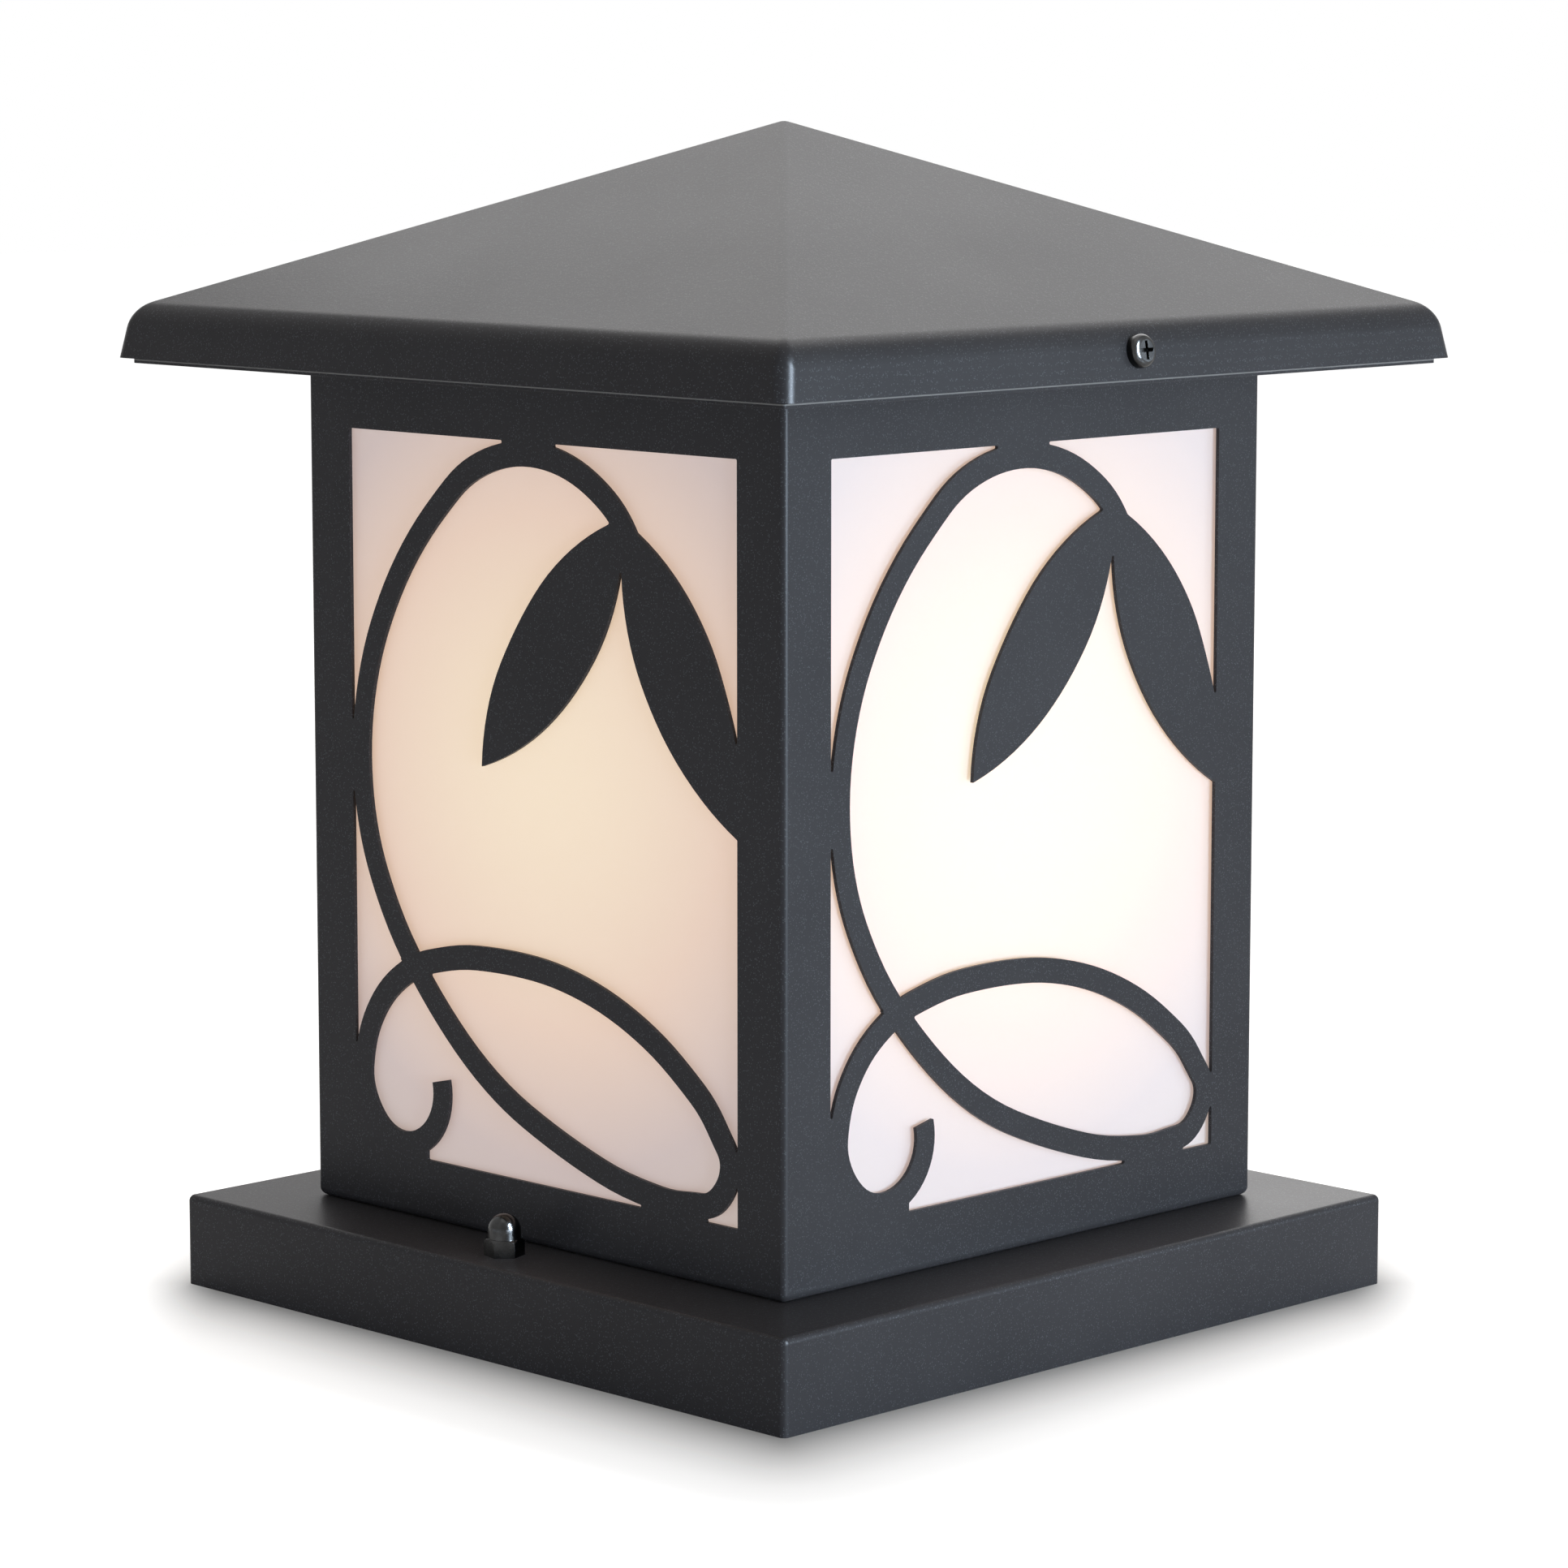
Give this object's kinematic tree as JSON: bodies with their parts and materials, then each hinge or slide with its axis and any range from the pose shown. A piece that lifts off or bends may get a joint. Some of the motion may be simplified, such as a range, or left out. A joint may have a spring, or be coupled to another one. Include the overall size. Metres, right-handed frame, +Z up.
{
  "type": "landscape light",
  "caption": "Square pillar lantern with vine cut-outs over glowing opal panels, a lift-off pyramid roof, a screw-in bulb and a wide base held by cap nuts.",
  "frame": {"origin": "middle of the base's underside, on the surface that it stands on", "axes": "+Z up to the roof's peak; -Y and +X are the two faces seen in the picture, with the cap nuts on -Y and +Y and the roof screws on +X and -X"},
  "size_m": [0.2802, 0.2752, 0.3432],
  "materials": {
    "powder_coat": "charcoal fine-texture powder coat with small metallic flecks",
    "black_steel": "glossy black-plated steel",
    "zinc_steel": "zinc-plated steel",
    "post_aluminium": "mill-finish extruded aluminium",
    "opal_panel": "satin opal acrylic, lit from inside",
    "porcelain": "glazed porcelain",
    "brass": "bright brass",
    "nickel_cap": "nickel-plated screw cap",
    "black_glass": "black vitrite glass",
    "white_plastic": "white moulded plastic",
    "led_board": "white circuit board with yellow chips",
    "opal_globe": "satin opal globe, lit",
    "block_plastic": "natural polyamide",
    "live_insulation": "brown lead insulation",
    "neutral_insulation": "blue lead insulation",
    "earth_insulation": "green and yellow striped lead insulation",
    "rubber": "black moulded rubber"
  },
  "bodies": {
    "root": {"base_tray": "powder_coat", "mounting_bar": "zinc_steel", "mounting_studs": "zinc_steel", "acorn_nuts": "black_steel", "body_front": "powder_coat", "body_rear": "powder_coat", "base_rivets": "black_steel", "tray_rivets": "black_steel", "soffit_tray": "powder_coat", "roof_upstand": "powder_coat", "lamp_bracket": "zinc_steel", "bracket_screws": "zinc_steel", "bracket_nuts": "zinc_steel", "lampholder_body": "porcelain", "lampholder_shell": "brass", "lampholder_contact": "brass", "lampholder_screws": "zinc_steel", "terminal_block": "block_plastic", "terminal_screws": "zinc_steel", "terminal_block_screws": "zinc_steel", "live_wire": "live_insulation", "neutral_wire": "neutral_insulation", "earth_wire": "earth_insulation", "earth_lug": "brass", "earth_stud": "zinc_steel", "earth_nuts": "brass", "cable_grommet": "rubber", "corner_post_front": "post_aluminium", "corner_post_right": "post_aluminium", "corner_post_back": "post_aluminium", "corner_post_left": "post_aluminium", "diffuser_front": "opal_panel", "diffuser_right": "opal_panel", "diffuser_back": "opal_panel", "diffuser_left": "opal_panel"},
    "roof": {"roof_cap": "powder_coat", "roof_screws": "black_steel", "roof_nuts": "zinc_steel"},
    "bulb_carrier": {"bulb_tip": "brass"},
    "bulb": {"bulb_insulator": "black_glass", "bulb_cap": "nickel_cap", "bulb_housing": "white_plastic", "bulb_led_plate": "led_board", "bulb_globe": "opal_globe"}
  },
  "joints": [
    {"name": "roof_lift", "type": "slide", "parent": "root", "child": "roof", "axis": [0, 0, 1], "range_m": [0, 0.15]},
    {"name": "bulb_rise", "type": "slide", "parent": "root", "child": "bulb_carrier", "axis": [0, 0, 1], "range_m": [0, 0.01267]},
    {"name": "bulb_turn", "type": "hinge", "parent": "bulb_carrier", "child": "bulb", "pos_m": [0, 0, 0.09], "axis": [0, 0, 1], "range_deg": [0, 1260]}
  ],
  "couplings": [
    {"joint": "bulb_turn", "follows": "bulb_rise", "rad_per_m": 1735.7}
  ]
}
